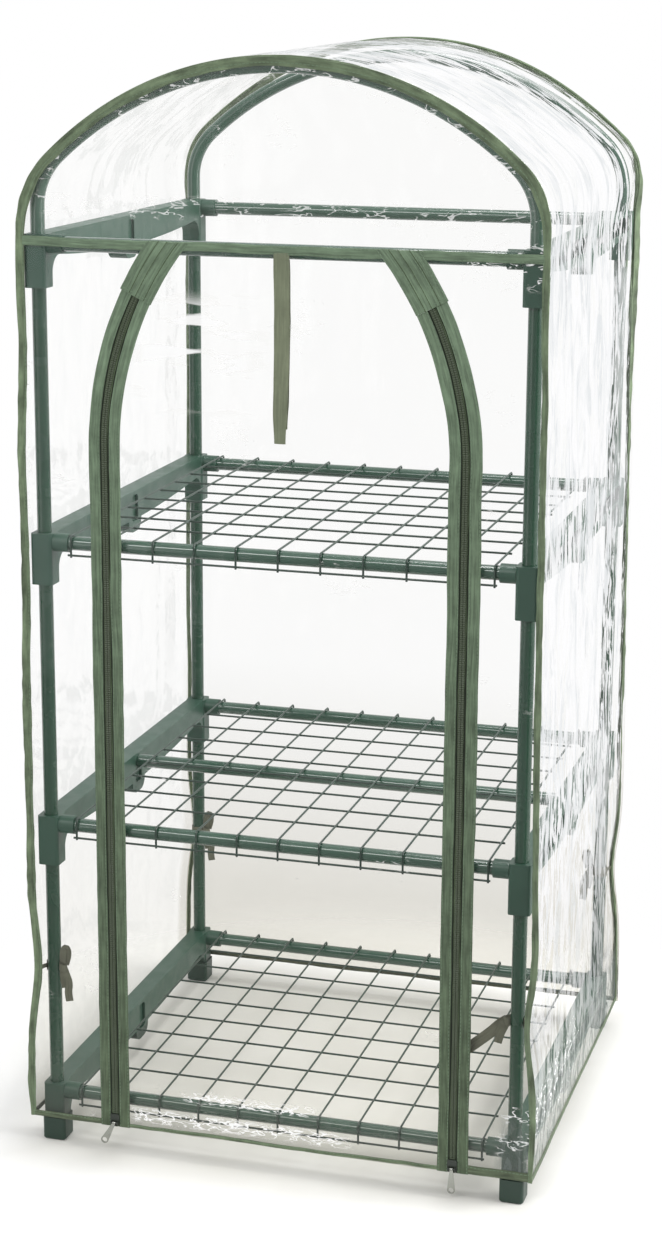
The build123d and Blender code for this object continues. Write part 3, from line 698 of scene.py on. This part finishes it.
def make_wrap():
    """One sheet over the left wall, the roof and the right wall."""
    along = np.linspace(0, 2 * arch_half, 490)
    across = np.linspace(film_front, film_rear, 92)
    x, z, out_x, out_z = arch(along[:, None], ((across - film_front) / (film_rear - film_front))[None, :])
    v, u = np.meshgrid(along, across, indexing="ij")
    held = ease(u, film_front, film_front + seam_hold) * ease(film_rear - u, 0, seam_hold)
    held = held * ease(z, hem_top, hem_top + 50 * MM)
    header_pull = 1.0 + 0.9 * np.exp(-(((z - header_z) / (70 * MM)) ** 2))
    lift = held * (header_pull * creased(u, v, 11) + 0.8 * MM)
    lift = np.clip(lift, -0.4 * MM, 4.5 * MM)
    points = stack(x + out_x * lift, u, z + out_z * lift)
    replaced = ("wall_left", "roof", "wall_right")
    return piece("film_wrap", "frame", [clear_film], [sheet(points, stack(u, v))], replaced)


def front_sheet(name, body, left, right, heights, count, seed, replaced, calm=None):
    """Flat front film between two edges that depend on the height."""
    columns = np.linspace(0, 1, count)
    x = left[:, None] + (right - left)[:, None] * columns[None, :]
    z = np.broadcast_to(heights[:, None], x.shape)
    edge = np.minimum(columns, 1 - columns)[None, :] * np.abs(right - left)[:, None]
    held = ease(edge, 4 * MM, seam_hold)
    if calm is not None:
        held = held * calm(x, z)
    lift = held * np.clip(creased(x, z, seed) + 0.3 * MM, -1.6 * MM, 0.9 * MM)
    points = stack(x, film_front - lift + film_back, z)
    return piece(name, body, [clear_film], [sheet(points, stack(x, z))], (replaced,))


def away_from_straps(x, z):
    """0 where the straps lie on the door, 1 elsewhere."""
    near = (1 - ease(np.abs(x - door_x), 12 * MM, 40 * MM)) * ease(z, 820 * MM, 860 * MM)
    return 1 - near


def make_fronts():
    """The two front strips and the door between them, which keeps clear of the zips' end patches."""
    heights = np.linspace(hem_z, header_low, 170)
    made = {}
    for side, side_name in ((-1, "left"), (1, "right")):
        edge = side * corner_x(heights)
        made[side_name] = front_sheet(
            f"film_strip_{side_name}", "frame", edge, zip_x(side, 1 * MM, heights), heights, 30, 31 + side,
            f"front_strip_{side_name}",
        )
    heights = np.linspace(hem_z, header_low - 0.5 * MM, 170)
    inset = -1 * MM - 18.5 * MM * ease(heights, zip_patch_z - 12 * MM, zip_patch_z)
    left = zip_x(-1, inset, heights)
    right = zip_x(1, inset, heights)
    made["door"] = front_sheet(
        "film_door", "door", left, right, heights, 72, 47, "door_film", away_from_straps
    )
    return made


def end_sheet(name, y, out, bottom, rows, seed, replaced):
    """Flat film under the arch, front or rear."""
    start = wall_run * 0.999
    top_x, top_z, _, _ = arch(np.linspace(start, 2 * arch_half - start, 130), 0.0 if out < 0 else 1.0)
    top_z = top_z[:, None]
    z = bottom + (top_z - bottom) * np.linspace(0, 1, rows)[None, :]
    x = np.broadcast_to(top_x[:, None], z.shape)
    spread = x * (1 + (corner_x(z) - corner_x(top_z)) / wall_x)
    held = ease(wall_x - np.abs(x), 2 * MM, seam_hold) * ease(top_z - z, 2 * MM, seam_hold)
    held = held * ease(z - bottom, 0, 30 * MM)
    lift = held * np.clip(creased(x, z, seed), -1.6 * MM, 1.6 * MM)
    points = stack(spread, y + out * (lift - film_back), z)
    return piece(name, "frame", [clear_film], [sheet(points, stack(x, z))], (replaced,))


wrap = make_wrap()
fronts = make_fronts()
gable = end_sheet("film_gable", film_front, -1, header_low, 34, 61, "front_gable")
rear = end_sheet("film_rear", film_rear, 1, hem_z, 170, 71, "rear_panel")


# Tapes

def make_binding(name, y, forward, seed, replaced):
    """Tape folded over the seam between an end panel and the wrap, with stitches on its inner leg."""
    along = np.linspace(0, 2 * arch_half, 720)
    x, z, out_x, out_z = arch(along, 0.0 if forward < 0 else 1.0)
    seam = stack(x, y, z)
    out = stack(out_x, 0 * x, out_z)
    front = np.array((0.0, forward, 0.0))
    high = ease(z, header_high, spring_z + 40 * MM)
    low = ease(z, hem_z, hem_z + 50 * MM)
    fray = (0.5 * noise(along / 0.05, 0, seed) + 0.4 * noise(along / 0.013, 0, seed + 1)) * MM
    side = binding_leg + 0.8 * MM + 0.6 * noise(along / 0.06, 0, seed + 2) * MM
    if forward < 0:
        inner = binding_leg + 6.2 * MM * high + fray
        ridge = binding_ridge - 3.2 * MM * high
    else:
        upper = ease(z, 800 * MM, 950 * MM)
        crown = ease(z, apex_z - 90 * MM, apex_z - 30 * MM)
        inner = binding_leg + 4.0 * MM * high + fray
        side = side * (0.4 + 0.6 * upper) * (1 - 0.8 * high)
        ridge = 2.2 * MM + 3.0 * MM * upper * (1 - high) - 1.1 * MM * crown
    ridge = ridge + (0.7 * noise(along / 0.04, 0, seed + 4) + 0.4 * noise(along / 0.012, 0, seed + 5)) * MM
    ridge = ridge_least + (ridge - ridge_least) * (0.25 + 0.75 * low)
    sway = 1.9 * noise(along / 0.13, 0, seed + 3) * MM * ease(np.abs(along - arch_half), 0.35, 0.5)
    section = (
        (0.1 * MM, -side), (0.8 * MM, -side * 0.97), (1.3 * MM, -side * 0.45), (2.0 * MM, 0.2 * MM),
        (ridge * 0.95, ridge * 0.66), (ridge, ridge * 0.88), (ridge * 0.84, ridge),
        (ridge * 0.6, ridge * 0.9),
        (0.4 * MM, 2.0 * MM), (-inner * 0.45, 1.4 * MM), (-inner * 0.95, 0.9 * MM), (-inner, 0.1 * MM),
        (0 * inner, -0.1 * MM),
    )
    rings = []
    for reach, ahead in section:
        reach = np.broadcast_to(reach, along.shape) + sway
        ahead = np.broadcast_to(ahead, along.shape)
        rings.append(seam + out * reach[:, None] + front * ahead[:, None])
    line = seam + out * (sway - inner * 0.6)[:, None] + front * 1.25 * MM
    skins = [skin(np.stack(rings, axis=1)), stitches(line, front)]
    return piece(name, "frame", [edging, thread], skins, (replaced,))


def wavy(along, seed, size=0.8):
    """Uneven run of a sewn tape's edge; size is in millimetres."""
    return (size * noise(along / 0.07, 0, seed) + 0.4 * size * noise(along / 0.017, 0, seed + 1)) * MM


def make_header():
    """Tape across the front at the height of the top rail, with the outer strap's sewn end."""
    x = np.linspace(-wall_x - flare(header_z), wall_x + flare(header_z), 240)
    centre = stack(x, film_front, (band_low + band_high) / 2 + wavy(x, 81, 1.0))
    width = band_high - band_low + wavy(x, 83, 1.0)
    rows = [centre + UP * (share * width)[:, None] + FORWARD * 1.25 * MM for share in (-0.36, 0.36)]
    skins = [tape(centre, UP, FORWARD, width, tape_rise)] + [stitches(row, FORWARD) for row in rows]
    low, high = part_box("strap_outer")
    root_z = np.linspace(high.z - 0.5 * MM, band_low + 2 * MM, 8)
    root = stack((low.x + high.x) / 2, high.y, root_z)
    skins.append(tape(root, np.array((1.0, 0.0, 0.0)), FORWARD, 17.4 * MM, 1.0 * MM, 2))
    return piece("header_band", "frame", [webbing, thread, ribbon], skins, ("header_tape",))


def make_hem():
    """Tape round the lower edge of the fixed film."""
    tall = {-1: 7.0 * MM, 1: 10.5 * MM}  # front hem, left and right of the door
    height = 6.0 * MM  # elsewhere
    middle = hem_z + height / 2
    skins = []
    for side in (-1, 1):
        y = np.linspace(film_front - 0.4 * MM, film_rear + 0.4 * MM, 120)
        out = np.array((side, 0.0, 0.0))
        edge = side * (wall_x + flare(middle)) + 0.3 * side * MM
        line = stack(edge, y, middle + wavy(y, 91 + side))
        skins += [tape(line, UP, out, height + wavy(y, 95 + side), binding_rise)]
        skins += [stitches(line + UP * 0.32 * height + out * 1.1 * MM, out)]
        x = np.linspace(side * (wall_x + flare(middle)), zip_x(side, tape_far - 0.5 * MM, hem_z), 40)
        line = stack(x, film_front, hem_z + tall[side] / 2 + wavy(x, 98 + side, 0.6))
        skins += [tape(line, UP, FORWARD, tall[side], binding_rise)]
        skins += [stitches(line + UP * 0.32 * tall[side] + FORWARD * 1.1 * MM, FORWARD)]
    x = np.linspace(-wall_x - flare(middle), wall_x + flare(middle), 140)
    line = stack(x, film_rear, middle + wavy(x, 103))
    skins += [tape(line, UP, -FORWARD, height + wavy(x, 105), binding_rise)]
    skins += [stitches(line + UP * 0.32 * height - FORWARD * 1.1 * MM, -FORWARD)]
    return piece("hem_band", "frame", [hem_weave, thread], skins, ("hem_tape",))


def make_door_hem():
    """Narrow tape along the door's lower edge."""
    x = np.linspace(zip_x(-1, -tape_far + 0.5 * MM, hem_z), zip_x(1, -tape_far + 0.5 * MM, hem_z), 160)
    height = door_hem_top - hem_z
    line = stack(x, film_front, hem_z + height / 2 + wavy(x, 107, 0.9))
    skins = [tape(line, UP, FORWARD, height - 1.5 * MM + wavy(x, 109, 0.5), binding_rise * 0.9)]
    skins += [stitches(line + UP * 0.2 * height + FORWARD * 1.0 * MM, FORWARD)]
    return piece("door_hem_band", "door", [edging, thread], skins, ("door_hem",))


# Bands of one zip tape: zip line to the band's middle, its width and how far it stands out
edge_band = (11.4 * MM, 12.8 * MM, 1.5 * MM)
inner_band = (4.5 * MM, 8.8 * MM, 0.8 * MM)
# The near-black band beside the coil is a painted shadow
shadow_band = (4.7 * MM, 1.8 * MM, 1.1 * MM)
coil_at = 1.55 * MM
coil_wide = 3.0 * MM
coil_pitch = 2.4 * MM
coil_rises = (1.7 * MM, 1.05 * MM)  # a turn of the coil and the gap after it
edge_stitches = 4.9 * MM  # middle of the edge band to each row


def zip_line(side, offset, along):
    """Points beside a zip's line, and the direction away from the door at each."""
    x, z, away_x, away_z = zip_place(side, offset, along)
    return stack(x, film_front, z), stack(away_x, 0 * along, away_z)


def make_zip_half(name, body, way, top_z, replaced):
    """One tape of each zip: folded edge band, thin woven tape, a near-black strip of painted shadow beside
    the coil, and the coil along the zip's line.
    """
    skins = []
    run = zip_run(top_z)
    for side in (-1, 1):
        seed = 120 + 10 * side + way
        along = np.linspace(0, run, 260)
        at, wide, rise = edge_band
        edge, across = zip_line(side, way * at, along)
        edge = edge + across * wavy(along, seed, 0.5)[:, None]
        skins.append(tape(edge, across, FORWARD, wide + wavy(along, seed + 3, 0.5), rise, 0))
        for share in (-edge_stitches, edge_stitches):
            skins.append(stitches(edge + across * share + FORWARD * 1.6 * MM, FORWARD, 1))
        at, wide, rise = inner_band
        inner, _ = zip_line(side, way * at, along)
        skins.append(tape(inner, across, FORWARD, wide, rise, 2))
        # Near-black strip of painted shadow beside the coil
        at, wide, rise = shadow_band
        fold, _ = zip_line(side, way * at, along)
        fold = fold + across * wavy(along, seed + 5, 0.5)[:, None]
        skins.append(tape(fold, across, FORWARD, wide, rise, 4))
        along = np.arange(0, run, coil_pitch / 2)
        coil, across = zip_line(side, way * coil_at, along)
        tooth = np.where(np.arange(len(along)) % 2 == 0, *coil_rises)
        skins.append(tape(coil, across, FORWARD, coil_wide, tooth, 3))
    made_of = [webbing, thread, zip_weave, zip_coil, zip_shadow]
    return piece(name, body, made_of, skins, (replaced,), sharp=40)


# Section of a patch over a zip's end, in millimetres from the zip's line and out from the film
patch_section = (
    (-19, 1.4), (-18, 2.3), (-9, 2.7), (0, 2.45), (9, 2.7), (18, 2.3), (19, 1.4), (19, 0.0), (-19, 0.0),
)


def make_patches():
    """Tape sewn over the top end of each zip and over the header."""
    skins = []
    low = (zip_run(zip_patch_z) - (zip_bend_z - hem_z)) / zip_bend_r
    top = header_high + 0.6 * MM
    share = np.linspace(0, 1, 40)
    for side in (-1, 1):
        rings = []
        rows = {}
        wave = wavy(share * 0.08, 141 + side, 0.6)
        for width, rise in patch_section:
            radius = zip_bend_r + width * MM
            high = np.arcsin((top - zip_bend_z) / radius)
            turn = low + (high - low) * share
            reach = zip_half - zip_bend_r + (radius + wave) * np.cos(turn)
            z = zip_bend_z + (radius + wave) * np.sin(turn)
            line = stack(door_x + side * reach, film_front - rise * MM, z)
            rings.append(line)
            rows[width] = line
        skins.append(skin(np.stack(rings, axis=1)))
        for width in (-18, 18, -9, 9):
            skins.append(stitches(rows[width] + FORWARD * 0.05 * MM, FORWARD))
        for width, beside in ((0, 0.0), (-9, 1.5 * MM), (9, 1.5 * MM)):
            line = rows[width] + np.array((beside, 0.0, 0.0))
            skins.append(stitches(line, FORWARD, 2, length=4.3 * MM, width=0.9 * MM))
        lower_end = np.stack([ring[2] for ring in rings[1:6]])
        skins.append(stitches(lower_end + FORWARD * 0.1 * MM, FORWARD))
    made_of = [webbing, thread, zip_weave]
    return piece("zip_end_patches", "frame", made_of, skins, ("zip_patches",))


front_binding = make_binding("binding_front", film_front, -1, 201, "front_binding")
rear_binding = make_binding("binding_rear", film_rear, 1, 221, "rear_binding")
make_header()
hem = make_hem()
door_hem = make_door_hem()
make_zip_half("zip_tape_fixed", "frame", 1, header_low, "zip_tapes_fixed")
door_tapes = make_zip_half("zip_tape_door", "door", -1, zip_patch_z - 0.05 * MM, "zip_tapes_door")
make_patches()


# Ribbons

def ribbon_skin(line, across, width, thick=0.9 * MM):
    """Flat ribbon along a line, as wide as width, with its face square to the line and across."""
    line = np.asarray(line)
    across = np.broadcast_to(across, line.shape)
    way = np.gradient(line, axis=0)
    way = way / np.linalg.norm(way, axis=1)[:, None]
    out = np.cross(way, across)
    out = out / np.linalg.norm(out, axis=1)[:, None]
    side = np.cross(out, way)
    width = np.broadcast_to(width, len(line))[:, None]
    section = (
        (-0.5, -0.35), (-0.5, 0.35), (-0.3, 0.5), (0, 0.55),
        (0.3, 0.5), (0.5, 0.35), (0.5, -0.35), (0, -0.5),
    )
    rings = [line + side * width * share + out * thick * high for share, high in section]
    return skin(np.stack(rings, axis=1))


def smooth_line(corners, count):
    """Points along a smooth curve through the corners' hull."""
    corners = np.asarray(corners, float)
    curve = bpy.data.curves.new("guide", "CURVE")
    curve.dimensions = "3D"
    curve.resolution_u = 12
    spline = curve.splines.new("NURBS")
    spline.points.add(len(corners) - 1)
    for point, corner in zip(spline.points, corners):
        point.co = (*corner, 1)
    spline.order_u = 3
    spline.use_endpoint_u = True
    guide = bpy.data.objects.new("guide", curve)
    mesh = bpy.data.meshes.new_from_object(guide)
    line = np.array([vertex.co for vertex in mesh.vertices])
    bpy.data.objects.remove(guide)
    bpy.data.meshes.remove(mesh)
    bpy.data.curves.remove(curve)
    reach = distances(line)
    return at_distances(line, reach, np.linspace(0, reach[-1], count))


def make_strap(name, body, node, out):
    """Strap sewn to the header, hanging a little away from the film at its free end."""
    low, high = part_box(node)
    fall = np.linspace(0, 1, 80)
    y = (low.y + high.y) / 2
    swing = out * (0.2 + 2.4 * fall**1.5 * (0.6 + 0.4 * np.sin(fall * 9))) * MM
    twist = 0.2 * np.sin(fall * 7) * fall
    x = (low.x + high.x) / 2 + 0.8 * MM * np.sin(fall * 5)
    line = stack(x, y + swing, high.z - (high.z - low.z) * fall)
    across = stack(np.cos(twist), out * np.abs(np.sin(twist)) * 0.25, 0 * fall)
    width = (17.4 - 1.2 * fall - 3.6 * ease(fall, 0.78, 1.0) + 0.5 * noise(fall * 14, 0, 301)) * MM
    return piece(name, body, [ribbon], [ribbon_skin(line, across, width)], (node,))


def half_turn(x, y, z, radius, side, away):
    """Way round the inner half of a post, from the cover's corner to the knot."""
    angle = np.linspace(-0.15 * math.pi, 1.1 * math.pi, 24)
    return stack(x + side * radius * np.cos(angle), y - away * radius * np.sin(angle), z)


def facing_skin(line, width):
    """Ribbon along a line with its face to the front, leaning a little."""
    across = np.cross(np.gradient(line, axis=0), FORWARD)
    across = across / np.linalg.norm(across, axis=1)[:, None]
    return ribbon_skin(line, across + 0.15 * FORWARD, width, 0.8 * MM)


# Routes of the loose ends, in millimetres inward, forward and up from the knot
bow = (
    ((0, 0, 0), (1, 3, 10), (2, 4, 21), (6, 4, 27), (8, 3, 17), (3, 1, 4)),
    ((0, 0, 0), (5, 3, -8), (9, 4, -18), (7, 4, -30), (9, 4, -40)),
    ((0, 0, 0), (2, 3, -6), (1, 2, -14), (4, 3, -24)),
)
long_tail = (
    ((0, 0, 0), (5, 3, -2), (16, 4, -14), (31, 5, -27), (46, 5, -40), (62, 4, -53)),
    ((0, 0, 0), (2, 4, -6), (6, 5, -14), (9, 5, -26)),
    ((0, 0, 0), (3, 5, -1), (6, 5, -5), (8, 4, -14)),
)

# From a post's axis to points along the strip that holds the cover's corner, in millimetres out, away and up
strip_route = ((8.4, 3, 0), (10.5, 9, 2), (11.6, 14.5, 0))


def make_ties():
    """Ribbon tied round each post: two turns, a strip to the cover's corner, a knot and loose ends."""
    skins = []
    for side in (-1, 1):
        for y, away in ((post_front, -1), (post_rear, 1)):
            x = side * post_x
            for lift in (-2.0, 2.0):
                loop = half_turn(x, y, tie_z + lift * MM, post_r + 0.9 * MM, side, away)
                skins.append(ribbon_skin(loop, UP, 8 * MM, 0.7 * MM))
            post = np.array((x, y, tie_z))
            strip = [post + np.array((side * out, away * along, up)) * MM for out, along, up in strip_route]
            skins.append(ribbon_skin(smooth_line(strip, 14), UP, 5 * MM, 0.8 * MM))
            knot = post + np.array((-side * 11.5, -2, 0)) * MM
            turn = np.linspace(0, 6.2, 24)
            wad = knot + stack(4 * MM * np.cos(turn), 4.2 * MM * np.sin(turn), 1.0 * MM * np.sin(2 * turn))
            skins.append(ribbon_skin(wad, UP, 9 * MM, 1.2 * MM))
            for tail in long_tail if side > 0 and away < 0 else bow:
                route = [(-side * inward, -forward, up) for inward, forward, up in tail]
                width = 13 * MM if tail is long_tail[0] else 9 * MM
                skins.append(facing_skin(smooth_line(knot + np.array(route) * MM, 44), width))
    return piece("ribbon_ties", "frame", [old_ribbon], skins, ("corner_ties",))


outer_strap = make_strap("strap_front", "outer_strap", "strap_outer", -1)
inner_strap = make_strap("strap_back", "inner_strap", "strap_inner", 1)
make_ties()


# Stage, light and camera

def make_floor():
    """Pale disc that fades out into the pale surroundings; under the cover it is darker beige, partly the
    floor's tone and partly painted shade.
    """
    mesh = bpy.data.meshes.new("floor")
    solid = bmesh.new()
    bmesh.ops.create_circle(solid, cap_ends=True, segments=96, radius=4.0)
    solid.to_mesh(mesh)
    solid.free()
    floor = bpy.data.objects.new("floor", mesh)
    bpy.context.scene.collection.objects.link(floor)
    made, tree, output = tree_of("floor_paper")
    place = add(tree, "TexCoord").outputs["Object"]
    reach = add(tree, "VectorMath", {0: place}, operation="LENGTH").outputs["Value"]
    x, y, _ = add(tree, "SeparateXYZ", {0: place}).outputs
    square = larger(tree, math_node(tree, "ABSOLUTE", x), math_node(tree, "ABSOLUTE", y))
    # Darker beige under the cover: the floor's tone and painted shade; nearly white further out
    far = plus(tree, between(tree, square, 0.25, 0.4, 0.0, 0.8), times(tree, grain(tree, place, 8.0), 0.4))
    paper_and_shade = ramp(tree, far, (0.12, (0.72, 0.707, 0.665)), (0.9, (0.97, 0.968, 0.96)))
    matt = add(tree, "BsdfDiffuse", {"Color": paper_and_shade}).outputs[0]
    gone = add(tree, "BsdfTransparent").outputs[0]
    surface = mixed(tree, between(tree, reach, 0.34, 0.66), matt, gone)
    tree.links.new(surface, output.inputs["Surface"])
    mesh.materials.append(made)


def make_world():
    """White to the eye, dimmer towards the front in what shines, and softer for the light it gives."""
    front_shine = 0.45
    soft_light = 0.62
    world = bpy.data.worlds.new("studio")
    bpy.context.scene.world = world
    world.use_nodes = True
    tree = world.node_tree
    tree.nodes.clear()
    output = tree.nodes.new("ShaderNodeOutputWorld")
    path = add(tree, "LightPath").outputs
    seen = plus(tree, path["Is Camera Ray"], path["Is Transmission Ray"], True)
    way = add(tree, "SeparateXYZ", {0: add(tree, "TexCoord").outputs["Generated"]}).outputs["Y"]
    mirrored = times(tree, path["Is Glossy Ray"], between(tree, way, -0.8, 0.2, front_shine, 1.0))
    other = minus(tree, 1.0, plus(tree, seen, path["Is Glossy Ray"], True))
    level = plus(tree, plus(tree, seen, mirrored), times(tree, other, soft_light))
    light = add(tree, "Background", {"Color": (1, 1, 1, 1), "Strength": level})
    tree.links.new(light.outputs[0], output.inputs["Surface"])


def make_lamp(name, place, target, wide, tall, power):
    """Soft rectangular lamp that looks at a target; power is in watts."""
    lamp = bpy.data.lights.new(name, "AREA")
    lamp.shape = "RECTANGLE"
    lamp.size = wide
    lamp.size_y = tall
    lamp.energy = power
    made = bpy.data.objects.new(name, lamp)
    made.location = place
    made.rotation_euler = (Vector(target) - Vector(place)).to_track_quat("-Z", "Y").to_euler()
    bpy.context.scene.collection.objects.link(made)


def make_camera():
    """The photograph's view: a camera fitted to the posts, rails and shelf wires seen in it."""
    azimuth = math.radians(16.208)
    elevation = math.radians(14.091)
    roll = math.radians(0.332)
    level = Vector((math.cos(azimuth), math.sin(azimuth), 0))
    behind = Vector((math.sin(azimuth), -math.cos(azimuth), 0))
    back = behind * math.cos(elevation) + Vector((0, 0, math.sin(elevation)))
    upright = back.cross(level)
    right = level * math.cos(roll) + upright * math.sin(roll)
    up = upright * math.cos(roll) - level * math.sin(roll)
    sensor = 36.0
    photo_height = 1240  # pixels
    focal_length = 2461.588  # pixels
    lens = bpy.data.cameras.new("camera")
    lens.sensor_fit = "AUTO"
    lens.sensor_width = sensor
    lens.lens = sensor * focal_length / photo_height
    lens.clip_end = 50
    made = bpy.data.objects.new("camera", lens)
    turned = Matrix((right, up, back)).transposed().to_4x4()
    turned.translation = Vector((780.44 * MM, -2737.55 * MM, 1304.58 * MM))
    made.matrix_world = turned
    bpy.context.scene.collection.objects.link(made)
    bpy.context.scene.camera = made


make_floor()
make_world()
make_lamp("key", (-0.9, -2.5, 2.5), (0, 0, 0.6), wide=2.0, tall=0.5, power=28)
make_lamp("side", (2.6, 0.0, 1.7), (0, 0, 0.6), wide=1.4, tall=1.4, power=84)
make_lamp("top", (0.1, 0.1, 3.2), (0, 0, 0.6), wide=0.9, tall=0.9, power=34)
make_lamp("front", (-2.2, -3.2, 0.6), (0, 0, 0.5), wide=2.0, tall=2.0, power=13)
make_camera()

scene = bpy.context.scene
scene.view_settings.view_transform = "Standard"
scene.cycles.transparent_max_bounces = 32  # layers of film that a ray can cross
